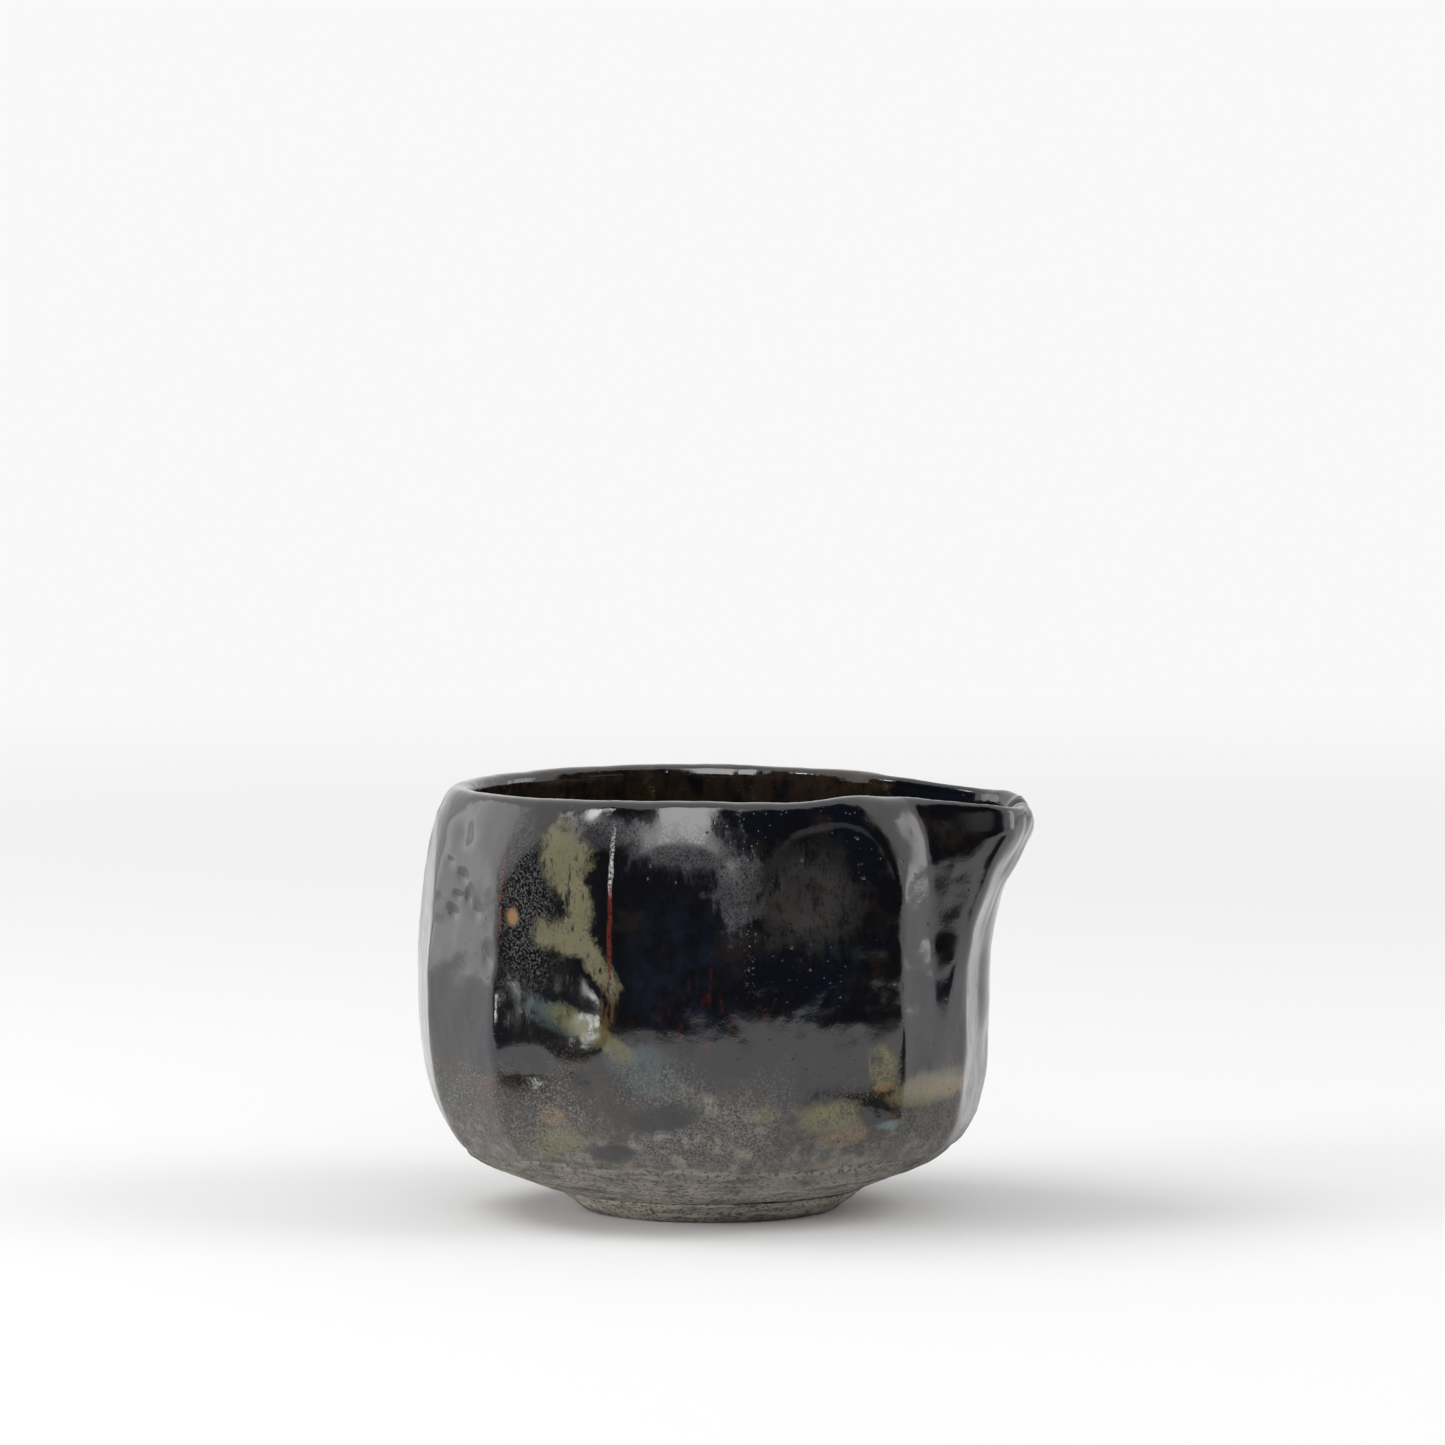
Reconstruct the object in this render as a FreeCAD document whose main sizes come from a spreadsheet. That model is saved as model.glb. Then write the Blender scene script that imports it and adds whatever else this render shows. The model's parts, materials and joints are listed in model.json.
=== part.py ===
"""Spouted tea bowl in black glazed raku clay, standing on a low foot ring.

The bowl is modelled in the order in which a potter makes it.  A thick blank is turned, its outside is
pared into flat facets, a pulled beak is luted on for pouring, and the inside is hollowed out.  The rim
and the lip of the beak are then cut and wiped round, and a foot ring is luted underneath.  The fired
clay carries one coat of glaze outside and one inside, which meet on the crest of the rim.

Frame: millimetres, +Z up, origin at the centre of the foot ring's resting face, beak towards +X.
"""
import FreeCAD, Part

import math
import os

import Sketcher
from FreeCAD import Placement, Rotation, Vector

PARTS_FOLDER = "parts"
SHEET = "Sizes"

SIZES = {
    # outside of the turned blank: radius and height where one curve gives way to the next
    "underside_height": 4.2,
    "junction_radius": 29.0,
    "haunch_radius": 40.6,
    "haunch_height": 8.7,
    "heel_curve": 11.9,
    "heel_radius": 45.4,
    "heel_height": 12.6,
    "hip_curve": 32.8,
    "hip_radius": 51.8,
    "hip_height": 28.0,
    "belly_curve": 130.0,
    "shoulder_radius": 52.2,
    "shoulder_height": 55.0,
    "neck_curve": 110.0,
    "neck_radius": 50.1,
    "neck_height": 71.5,
    "lip_curve": 24.0,
    "blank_top_radius": 45.6,
    "blank_top_height": 81.2,
    # facets pared off the blank
    "facet_bite": 0.35,
    "facet_top_lean": 1.0,
    "facet_foot_lean": 0.8,
    "blank_widest": 52.7,
    "knife_reach": 75.0,
    # inside of the bowl, with a shallow pool for the last of the tea
    "pool_height": 10.4,
    "pool_curve": 92.0,
    "pool_edge_radius": 16.0,
    "pool_edge_height": 11.8,
    "floor_radius": 27.0,
    "floor_height": 12.4,
    "floor_curve": 20.4,
    "inner_hip_radius": 45.0,
    "inner_hip_height": 29.0,
    "inner_belly_curve": 95.0,
    "inner_shoulder_radius": 46.1,
    "inner_shoulder_height": 55.0,
    "inner_lip_curve": 250.0,
    "inner_top_radius": 43.0,
    "inner_top_height": 84.0,
    # crest of the rim and lip of the beak, seen from the side
    "crest_reach": 70.0,
    "crest_back_height": 77.9,
    "crest_curve": 1500.0,
    "lip_start_reach": 53.5,
    "lip_start_height": 77.7,
    "lip_drop_curve": 8.45,
    "lip_end_reach": 61.46,
    "lip_end_height": 70.2,
    "cutter_reach": 90.0,
    "cutter_top": 100.0,
    "rim_roundness": 1.1,
    # foot ring, and the small swirl left by the turning tool on the base inside it
    "foot_rest_radius": 22.6,
    "foot_edge_curve": 2.2,
    "foot_edge_radius": 24.4,
    "foot_edge_height": 0.8,
    "foot_inner_radius": 15.6,
    "foot_inner_top_radius": 14.6,
    "swirl_radius": 6.0,
    "swirl_height": 1.1,
    "foot_shift": 1.0,
    # glaze
    "glaze": 0.6,
    "glaze_line": 12.4,
    "half_wall": 1.7,
}

# Ridges between the facets, in degrees round from the beak.
RIDGES = (-158.0, -134.5, -109.0, -81.0, -47.0, -26.0, 0.0, 27.0, 55.0, 83.0, 110.0, 138.0, 170.0)

# Level sections: height, reach and curve of the nose, reach and half width of the root, curve of the flank.
SECTION_FIELDS = ("height", "reach", "nose", "root", "half_width", "flank")
BEAK = (
    (34.0, 51.6, 24.0, 38.0, 24.0, 60.0),
    (46.0, 52.8, 20.0, 38.0, 28.0, 55.0),
    (58.0, 54.3, 14.0, 38.0, 30.0, 50.0),
    (68.0, 59.0, 9.0, 37.0, 31.0, 45.0),
    (82.0, 69.5, 8.0, 34.0, 30.0, 42.0),
)
CHANNEL = (
    (50.0, 44.5, 12.0, 30.0, 20.0, 60.0),
    (60.0, 50.6, 8.0, 30.0, 24.0, 52.0),
    (70.0, 57.0, 6.0, 30.0, 27.0, 46.0),
    (84.0, 68.0, 5.0, 30.0, 28.0, 46.0),
)


class Size:
    """A number that remembers the spreadsheet formula it comes from."""

    def __init__(self, number, formula=None):
        self.number = float(number)
        self.formula = formula or repr(float(number))

    def __add__(self, other):
        other = as_size(other)
        return Size(self.number + other.number, f"({self.formula} + {other.formula})")

    def __sub__(self, other):
        other = as_size(other)
        return Size(self.number - other.number, f"({self.formula} - {other.formula})")

    def __mul__(self, other):
        other = as_size(other)
        return Size(self.number * other.number, f"({self.formula} * {other.formula})")

    def __neg__(self):
        return Size(-self.number, f"(-{self.formula})")

    def __rsub__(self, other):
        return as_size(other) - self


def as_size(value):
    return value if isinstance(value, Size) else Size(value)


def cosine(angle):
    return Size(math.cos(math.radians(angle.number)), f"cos({angle.formula} * 1 deg)")


def make_sheet(doc):
    """Fill the spreadsheet, one named cell to a row, and return every size by name."""
    rows = dict(SIZES)
    for index, ridge in enumerate(RIDGES):
        rows[f"ridge_{index}"] = ridge
    for form, sections in (("beak", BEAK), ("channel", CHANNEL)):
        for index, section in enumerate(sections):
            for field, value in zip(SECTION_FIELDS, section):
                rows[f"{form}_{field}_{index}"] = value
    sheet = doc.addObject("Spreadsheet::Sheet", SHEET)
    for row, (name, value) in enumerate(rows.items(), start=1):
        sheet.set(f"A{row}", name.replace("_", " "))
        sheet.set(f"B{row}", str(value))
        sheet.setAlias(f"B{row}", name)
    doc.recompute()
    return {name: Size(value, f"{SHEET}.{name}") for name, value in rows.items()}


# ---------------------------------------------------------------- sketches

def new_body(doc, name):
    return doc.addObject("PartDesign::Body", name)


def new_sketch(body, name, plane):
    """Add a sketch on one of the body's own origin planes."""
    sketch = body.newObject("Sketcher::SketchObject", name)
    support = next(item for item in body.Origin.OriginFeatures if item.Role == plane)
    sketch.AttachmentSupport = (support, [""])
    sketch.MapMode = "FlatFace"
    return sketch


def bind(sketch, constraint, size):
    index = sketch.addConstraint(constraint)
    sketch.setExpression(f"Constraints[{index}]", size.formula)


def pin(sketch, direction, vertex, size):
    """Hold one coordinate of a vertex, measured from the sketch's origin."""
    on_axis = {"X": -2, "Y": -1}
    origin = (-1, 1)
    if size.number == 0:
        sketch.addConstraint(Sketcher.Constraint("PointOnObject", *vertex, on_axis[direction]))
    elif size.number > 0:
        bind(sketch, Sketcher.Constraint(f"Distance{direction}", *origin, *vertex, size.number), size)
    else:
        bind(sketch, Sketcher.Constraint(f"Distance{direction}", *vertex, *origin, -size.number), -size)


def arc_between(start, end, radius):
    """Short arc from start to end; its centre is on the left, or on the right for a negative radius."""
    chord = end - start
    middle = (start + end) * 0.5
    left = Vector(-chord.y, chord.x, 0).normalize()
    depth = math.sqrt(radius * radius - chord.Length * chord.Length / 4)
    centre = middle + left * math.copysign(depth, radius)
    first, last = (start, end) if radius > 0 else (end, start)
    angles = [math.atan2(point.y - centre.y, point.x - centre.x) for point in (first, last)]
    circle = Part.Circle(centre, Vector(0, 0, 1), abs(radius))
    return Part.ArcOfCircle(circle, *angles)


def draw_outline(sketch, stretches):
    """Draw a closed outline.

    Each stretch is (x, y, curve): the corner where it starts, and the radius of the arc to the next
    corner, or None for a straight line.  A negative radius curves the other way.
    """
    corners = [(as_size(x), as_size(y)) for x, y, _ in stretches]
    vertices = []
    for index, (_, _, curve) in enumerate(stretches):
        start, end = (Vector(x.number, y.number, 0)
                      for x, y in (corners[index], corners[(index + 1) % len(corners)]))
        if curve is None:
            sketch.addGeometry(Part.LineSegment(start, end))
        else:
            sketch.addGeometry(arc_between(start, end, curve.number))
        backwards = curve is not None and curve.number < 0
        vertices.append((2, 1) if backwards else (1, 2))
    for index, (x, y, curve) in enumerate(stretches):
        before = index - 1 if index else len(stretches) - 1
        sketch.addConstraint(Sketcher.Constraint("Coincident", before, vertices[before][1],
                                                 index, vertices[index][0]))
    for index, (x, y) in enumerate(corners):
        vertex = (index, vertices[index][0])
        pin(sketch, "X", vertex, x)
        pin(sketch, "Y", vertex, y)
    for index, (_, _, curve) in enumerate(stretches):
        if curve is not None:
            radius = curve if curve.number > 0 else -curve
            bind(sketch, Sketcher.Constraint("Radius", index, radius.number), radius)


def revolve(body, name, stretches):
    """Turn an outline of radii and heights about the Z axis."""
    sketch = new_sketch(body, f"{name}_profile", "XZ_Plane")
    draw_outline(sketch, stretches)
    turned = body.newObject("PartDesign::Revolution", name)
    turned.Profile = sketch
    turned.ReferenceAxis = (sketch, ["V_Axis"])
    turned.Angle = 360
    return turned


# ---------------------------------------------------------------- forms, each at a chosen growth

def blank_profile(size, grow):
    """Outline of the turned blank from the foot up, and closed down the axis."""
    return [
        (size["foot_inner_top_radius"], size["underside_height"], None),
        (size["junction_radius"], size["underside_height"], None),
        (size["haunch_radius"] + grow, size["haunch_height"], size["heel_curve"] + grow),
        (size["heel_radius"] + grow, size["heel_height"], size["hip_curve"] + grow),
        (size["hip_radius"] + grow, size["hip_height"], size["belly_curve"] + grow),
        (size["shoulder_radius"] + grow, size["shoulder_height"], size["neck_curve"] + grow),
        (size["neck_radius"] + grow, size["neck_height"], size["lip_curve"] + grow),
        (size["blank_top_radius"] + grow, size["blank_top_height"], None),
        (0, size["blank_top_height"], None),
        (0, size["underside_height"] - size["swirl_height"], None),
        (size["swirl_radius"], size["underside_height"], None),
    ]


def knife_profile(size, grow, bite):
    """Outline of the clay pared away by one stroke, seen along the facet."""
    def radius(name):
        return size[name] + grow - bite

    return [
        (size["knife_reach"], size["underside_height"] - 10, None),
        (size["knife_reach"], size["blank_top_height"] + 10, None),
        (radius("shoulder_radius") - size["facet_top_lean"], size["blank_top_height"] + 10, None),
        (radius("shoulder_radius"), size["shoulder_height"], -(size["belly_curve"] + grow)),
        (radius("hip_radius"), size["hip_height"], -(size["hip_curve"] + grow)),
        (radius("heel_radius") + size["facet_foot_lean"], size["heel_height"], None),
        (radius("heel_radius"), size["underside_height"] - 10, None),
    ]


def facet_angles(size):
    """Direction and half width of every facet, from one ridge to the next."""
    ridges = [size[f"ridge_{index}"] for index in range(len(RIDGES))]
    for index, ridge in enumerate(ridges):
        following = ridges[index + 1] if index + 1 < len(ridges) else ridges[0] + 360
        yield (ridge + following) * 0.5, (following - ridge) * 0.5


def faceted_form(doc, name, size, grow):
    """The turned blank with its facets pared off one by one."""
    body = new_body(doc, name)
    revolve(body, f"{name}_blank", blank_profile(size, grow))
    for index, (direction, half_angle) in enumerate(facet_angles(size)):
        sketch = new_sketch(body, f"{name}_stroke_{index}", "XZ_Plane")
        sketch.AttachmentOffset = Placement(Vector(), Rotation(Vector(0, 1, 0), direction.number))
        sketch.setExpression("AttachmentOffset.Rotation.Angle", direction.formula)
        bite = size["facet_bite"] + size["blank_widest"] * (1 - cosine(half_angle))
        draw_outline(sketch, knife_profile(size, grow, bite))
        facet = body.newObject("PartDesign::Pocket", f"{name}_facet_{index}")
        facet.Profile = sketch
        facet.Midplane = True
        facet.setExpression("Length", f"2 * {size['knife_reach'].formula}")
    return body


def horn_section(sketch, reach, nose, root, half_width, flank):
    """Level section of the beak: a round nose, two hollow flanks running into it, a root line."""
    centre = Vector(reach.number - nose.number, 0, 0)
    corner = Vector(root.number, half_width.number, 0)
    flank_centre = meeting_point(centre, nose.number + flank.number, corner, flank.number)
    touch = centre + (flank_centre - centre).normalize() * nose.number
    mirrored = Vector(touch.x, -touch.y, 0)
    angle = math.atan2(touch.y, touch.x - centre.x)
    circle = Part.Circle(centre, Vector(0, 0, 1), nose.number)
    sketch.addGeometry(Part.ArcOfCircle(circle, -angle, angle))
    sketch.addGeometry(arc_between(touch, corner, -flank.number))
    sketch.addGeometry(Part.LineSegment(corner, Vector(corner.x, -corner.y, 0)))
    sketch.addGeometry(arc_between(Vector(corner.x, -corner.y, 0), mirrored, -flank.number))
    for first, second in (((0, 2), (1, 2)), ((3, 1), (0, 1))):
        sketch.addConstraint(Sketcher.Constraint("Tangent", *first, *second))
    for first, second in (((1, 1), (2, 1)), ((2, 2), (3, 2))):
        sketch.addConstraint(Sketcher.Constraint("Coincident", *first, *second))
    sketch.addConstraint(Sketcher.Constraint("PointOnObject", 0, 3, -1))
    pin(sketch, "X", (0, 3), reach - nose)
    bind(sketch, Sketcher.Constraint("Radius", 0, nose.number), nose)
    pin(sketch, "X", (2, 1), root)
    pin(sketch, "Y", (2, 1), half_width)
    pin(sketch, "X", (2, 2), root)
    pin(sketch, "Y", (2, 2), -half_width)
    bind(sketch, Sketcher.Constraint("Radius", 1, flank.number), flank)
    bind(sketch, Sketcher.Constraint("Radius", 3, flank.number), flank)


def meeting_point(first, first_distance, second, second_distance):
    """Point at the given distances from two others, on the far side from the X axis."""
    gap = second - first
    along = (first_distance ** 2 - second_distance ** 2 + gap.Length ** 2) / (2 * gap.Length)
    aside = math.sqrt(first_distance ** 2 - along ** 2)
    direction = Vector(gap).normalize()
    return first + direction * along + Vector(direction.y, -direction.x, 0) * aside


def horn_form(doc, name, kind, count, size, grow):
    """Loft the beak, or the channel inside it, through its level sections."""
    body = new_body(doc, name)
    sketches = []
    for index in range(count):
        height, reach, nose, root, half_width, flank = (size[f"{kind}_{field}_{index}"]
                                                        for field in SECTION_FIELDS)
        sketch = new_sketch(body, f"{name}_section_{index}", "XY_Plane")
        sketch.AttachmentOffset = Placement(Vector(0, 0, height.number), Rotation())
        sketch.setExpression("AttachmentOffset.Base.z", height.formula)
        horn_section(sketch, reach + grow, nose + grow, root, half_width + grow, flank - grow)
        sketches.append(sketch)
    loft = body.newObject("PartDesign::AdditiveLoft", f"{name}_loft")
    loft.Profile = sketches[0]
    loft.Sections = sketches[1:]
    return body


def hollow_form(doc, name, size, grow):
    """The room inside the bowl; growing it takes clay away."""
    body = new_body(doc, name)
    revolve(body, f"{name}_turned", [
        (0, size["pool_height"] - grow, size["pool_curve"] + grow),
        (size["pool_edge_radius"], size["pool_edge_height"] - grow, None),
        (size["floor_radius"], size["floor_height"] - grow, size["floor_curve"] + grow),
        (size["inner_hip_radius"] + grow, size["inner_hip_height"], size["inner_belly_curve"] + grow),
        (size["inner_shoulder_radius"] + grow, size["inner_shoulder_height"], size["inner_lip_curve"] + grow),
        (size["inner_top_radius"] + grow, size["inner_top_height"], None),
        (0, size["inner_top_height"], None),
    ])
    return body


def rim_form(doc, name, size, grow):
    """Everything above the crest of the rim and outside the lip of the beak."""
    body = new_body(doc, name)
    sketch = new_sketch(body, f"{name}_profile", "XZ_Plane")
    draw_outline(sketch, [
        (-size["crest_reach"], size["crest_back_height"] + grow, -(size["crest_curve"] + grow)),
        (size["lip_start_reach"], size["lip_start_height"] + grow, -(size["lip_drop_curve"] + grow)),
        (size["lip_end_reach"] + grow, size["lip_end_height"], None),
        (size["cutter_reach"], size["lip_end_height"], None),
        (size["cutter_reach"], size["cutter_top"], None),
        (-size["crest_reach"], size["cutter_top"], None),
    ])
    pad = body.newObject("PartDesign::Pad", f"{name}_cut")
    pad.Profile = sketch
    pad.Midplane = True
    pad.setExpression("Length", f"2 * {size['crest_reach'].formula}")
    return body


# ---------------------------------------------------------------- putting forms together

def fuse(doc, name, *shapes):
    fused = doc.addObject("Part::MultiFuse", name)
    fused.Shapes = list(shapes)
    return fused


def cut(doc, name, base, tool):
    remainder = doc.addObject("Part::Cut", name)
    remainder.Base = base
    remainder.Tool = tool
    return remainder


def common(doc, name, base, tool):
    shared = doc.addObject("Part::MultiCommon", name)
    shared.Shapes = [base, tool]
    return shared


def crest_edges(shape, lowest):
    """Numbers of the edges where the cut crest of the rim and lip meets the walls."""
    crest_faces = [face for face in shape.Faces
                   if isinstance(face.Surface, Part.Cylinder) and face.BoundBox.ZMin > lowest]
    crest = [edge for face in crest_faces for edge in face.Edges]
    return [number for number, edge in enumerate(shape.Edges, start=1)
            if sum(edge.isSame(other) for other in crest) == 1]


def round_edges(doc, name, base, radius, lowest):
    """Wipe the crest of the rim and the lip round."""
    rounded = doc.addObject("Part::Fillet", name)
    rounded.Base = base
    rounded.Edges = [(number, radius.number, radius.number) for number in crest_edges(base.Shape, lowest.number)]
    return rounded


def bowl_form(doc, tag, size, grow):
    """The whole bowl without its foot, with every surface moved out by the growth."""
    faceted = faceted_form(doc, f"faceted_{tag}", size, grow)
    beak = horn_form(doc, f"beak_{tag}", "beak", len(BEAK), size, grow)
    waste = hollow_and_channel(doc, tag, size, -grow)
    rim = rim_form(doc, f"above_rim_{tag}", size, grow)
    outside = fuse(doc, f"outside_{tag}", faceted, beak)
    bowl = cut(doc, f"bowl_{tag}", outside, fuse(doc, f"waste_{tag}", waste, rim))
    doc.recompute()
    wiped = round_edges(doc, f"wiped_{tag}", bowl, size["rim_roundness"] + grow, size["lip_end_height"])
    return wiped, faceted


def hollow_and_channel(doc, tag, size, grow):
    """The room inside the bowl together with the channel that leads out of it over the lip."""
    hollow = hollow_form(doc, f"hollow_{tag}", size, grow)
    channel = horn_form(doc, f"channel_{tag}", "channel", len(CHANNEL), size, grow)
    return fuse(doc, f"inside_{tag}", hollow, channel)


# ---------------------------------------------------------------- the pieces of the bowl

def make_clay(doc, size):
    """Fired clay: the faceted body, and the beak that is luted on outside it."""
    bowl, faceted = bowl_form(doc, "clay", size, Size(0))
    body = common(doc, "clay_body", bowl, faceted)
    spout = cut(doc, "pouring_spout", bowl, faceted)
    return bowl, [body, spout]


def make_glaze(doc, size, clay):
    """The two coats of glaze, which part along the middle of the wall at the crest of the rim."""
    glazed, _ = bowl_form(doc, "glazed", size, size["glaze"])
    coats = cut(doc, "coats", glazed, clay)
    inner_side = hollow_and_channel(doc, "inner_side", size, size["half_wall"])
    inner = common(doc, "inner_glaze", coats, inner_side)
    bare = doc.addObject("Part::Cylinder", "bare_foot_zone")
    bare.setExpression("Radius", size["knife_reach"].formula)
    bare.setExpression("Height", size["glaze_line"].formula)
    unglazed = fuse(doc, "unglazed_zone", inner_side, bare)
    outer = cut(doc, "outer_glaze", coats, unglazed)
    return [outer, inner]


def make_foot_ring(doc, size):
    """Low foot ring, splayed outside, with a soft lower edge and a straight inner wall."""
    body = new_body(doc, "foot_ring")
    revolve(body, "foot_ring_turned", [
        (size["foot_inner_radius"], 0, None),
        (size["foot_rest_radius"], 0, size["foot_edge_curve"]),
        (size["foot_edge_radius"], size["foot_edge_height"], None),
        (size["junction_radius"], size["underside_height"], None),
        (size["foot_inner_top_radius"], size["underside_height"], None),
    ])
    return body


def check(doc, pieces):
    """Stop if anything in the document failed or a piece is not a sound solid."""
    failed = [item.Name for item in doc.Objects if {"Invalid", "Error"} & set(item.State)]
    unsound = [piece.Label for piece in pieces
               if piece.Shape.isNull() or not piece.Shape.isValid() or not piece.Shape.Solids]
    if failed or unsound:
        raise RuntimeError(f"failed: {failed}, unsound: {unsound}")


def main():
    doc = FreeCAD.newDocument("spouted_tea_bowl")
    size = make_sheet(doc)
    clay, clay_pieces = make_clay(doc, size)
    glaze_pieces = make_glaze(doc, size, clay)
    foot_ring = make_foot_ring(doc, size)
    pieces = clay_pieces + glaze_pieces + [foot_ring]
    for piece in clay_pieces + glaze_pieces:
        piece.setExpression("Placement.Base.x", (-size["foot_shift"]).formula)
    doc.recompute()
    check(doc, pieces)
    os.makedirs(PARTS_FOLDER, exist_ok=True)
    for piece in pieces:
        piece.Shape.exportStep(os.path.join(PARTS_FOLDER, f"{piece.Label}.step"))
        box = piece.Shape.BoundBox
        print(piece.Label, len(piece.Shape.Solids), round(piece.Shape.Volume), box)


main()
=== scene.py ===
import json
import math

import bpy
import numpy as np
from bpy.props import FloatProperty, FloatVectorProperty, IntProperty, PointerProperty
from bpy.types import Operator, Panel, PropertyGroup
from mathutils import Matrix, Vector, noise

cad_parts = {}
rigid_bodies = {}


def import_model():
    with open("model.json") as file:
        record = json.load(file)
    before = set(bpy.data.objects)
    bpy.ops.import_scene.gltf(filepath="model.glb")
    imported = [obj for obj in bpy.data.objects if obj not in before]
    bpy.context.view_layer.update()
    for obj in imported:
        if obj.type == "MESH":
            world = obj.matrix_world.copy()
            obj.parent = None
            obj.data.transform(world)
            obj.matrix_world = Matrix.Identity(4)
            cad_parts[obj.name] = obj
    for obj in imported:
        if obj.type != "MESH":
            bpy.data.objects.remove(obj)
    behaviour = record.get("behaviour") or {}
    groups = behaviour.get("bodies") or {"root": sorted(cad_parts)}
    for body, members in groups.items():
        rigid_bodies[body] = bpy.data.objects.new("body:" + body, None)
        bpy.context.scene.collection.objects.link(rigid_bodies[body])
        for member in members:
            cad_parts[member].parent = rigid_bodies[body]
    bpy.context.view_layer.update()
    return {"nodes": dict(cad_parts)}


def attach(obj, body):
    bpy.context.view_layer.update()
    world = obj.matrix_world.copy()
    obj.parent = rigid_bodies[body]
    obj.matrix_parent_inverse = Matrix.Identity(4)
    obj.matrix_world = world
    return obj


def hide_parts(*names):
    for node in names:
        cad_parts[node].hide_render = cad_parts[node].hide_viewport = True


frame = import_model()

bl_info = {
    "name": "Faceted Tea Bowl with a Spout",
    "version": (1, 0, 0),
    "blender": (4, 5, 0),
    "location": "View3D > Sidebar > Tea Bowl",
    "description": "Dresses a black glazed, faceted tea bowl and sets up its studio",
    "category": "Object",
}

# ---------------------------------------------------------------- sizes read from the frame
MM = 0.001
AXIS_X = -0.001       # the bowl was turned round an axis a millimetre behind the foot's centre
BARE_BELOW = 0.017    # no clay shows outside above this height
FOOT_OUTSIDE = 0.018  # farther out than this, the foot is turned and grooved
UNDERSIDE = 0.25      # a face whose normal rises less than this looks outwards or down

# How far the hand-built wall stands out from its plain form, left and right: height, outward,
# both in millimetres.
LEFT_BELLY = ((8, 0.0), (11, 0.9), (13, 1.4), (20, 1.8), (31, 2.0), (44, 2.0), (54, 1.8),
              (62, 1.4), (68, 0.9), (76, 0.0))
RIGHT_BELLY = ((8, 0.0), (10, 0.8), (13, 1.5), (18, 1.7), (22, 1.2), (31, 0.9), (38, 0.4),
               (44, 0.0))

# The broad cheeks of the pulled spout: how far forward they come at each place across it, a row
# for each height, and how far the lip dips there.
CHEEK_ACROSS = (0.0, 5.0, 8.0, 10.0, 12.0, 15.0, 20.5, 22.5, 25.0, 28.0, 31.0)
CHEEKS = ((36, (0.0,) * 11),
          (42, (0.0, 0.0, 0.0, 0.0, 0.0, 0.0, 0.2, 0.4, 0.9, 0.9, 0.0)),
          (48, (0.0, 0.0, 0.2, 0.4, 0.5, 0.5, 0.6, 0.9, 1.9, 1.9, 0.1)),
          (54, (0.0, 0.4, 1.0, 1.8, 2.2, 1.9, 2.0, 2.3, 3.2, 2.0, 0.2)),
          (60, (0.0, 0.7, 1.9, 3.3, 4.5, 4.4, 4.3, 4.4, 4.0, 2.2, 0.3)),
          (66, (0.0, 0.8, 2.7, 4.6, 6.3, 6.6, 6.3, 6.4, 4.5, 2.4, 0.3)),
          (73, (0.0, 0.4, 3.3, 6.5, 9.0, 10.8, 10.7, 9.6, 6.2, 2.9, 0.4)),
          (82, (0.0, 0.4, 3.2, 6.4, 9.0, 11.4, 11.6, 10.4, 6.6, 2.9, 0.4)))
# The plain spout's outside near its lip, and how far the channel's walls are thinned from within.
LIP_FACE = (60.1, 59.0, 55.5, 52.0, 49.5, 47.3, 45.5, 44.6, 43.2, 41.2, 39.0)
LIP_THINNED = (0.0, 1.0, 3.8, 4.4, 4.4, 3.5, 2.2, 1.4, 0.6, 0.0, 0.0)
LIP_DIP = (0.0, 0.4, 1.2, 1.7, 2.0, 1.9, 1.5, 1.1, 0.6, 0.0, 0.0)

# Thumb marks and tool marks pressed into the front: x, z, width, height, depth in millimetres.
PRESSED = ((-25.5, 41.0, 6.0, 4.5, 0.5), (-45.6, 72.3, 1.9, 2.4, 0.9), (-40.6, 50.2, 1.2, 2.6, 0.5),
           (-47.2, 57.6, 0.9, 0.9, 0.5), (-46.4, 60.7, 0.7, 0.7, 0.4), (-48.0, 66.8, 1.0, 0.9, 0.5),
           (-45.4, 64.2, 1.0, 1.0, 0.5), (-44.3, 60.9, 0.8, 1.5, 0.5), (-43.0, 58.3, 0.9, 1.2, 0.4),
           (-33.5, 30.0, 5.0, 3.0, 0.5), (8.0, 27.0, 9.0, 4.0, 0.5))


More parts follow.
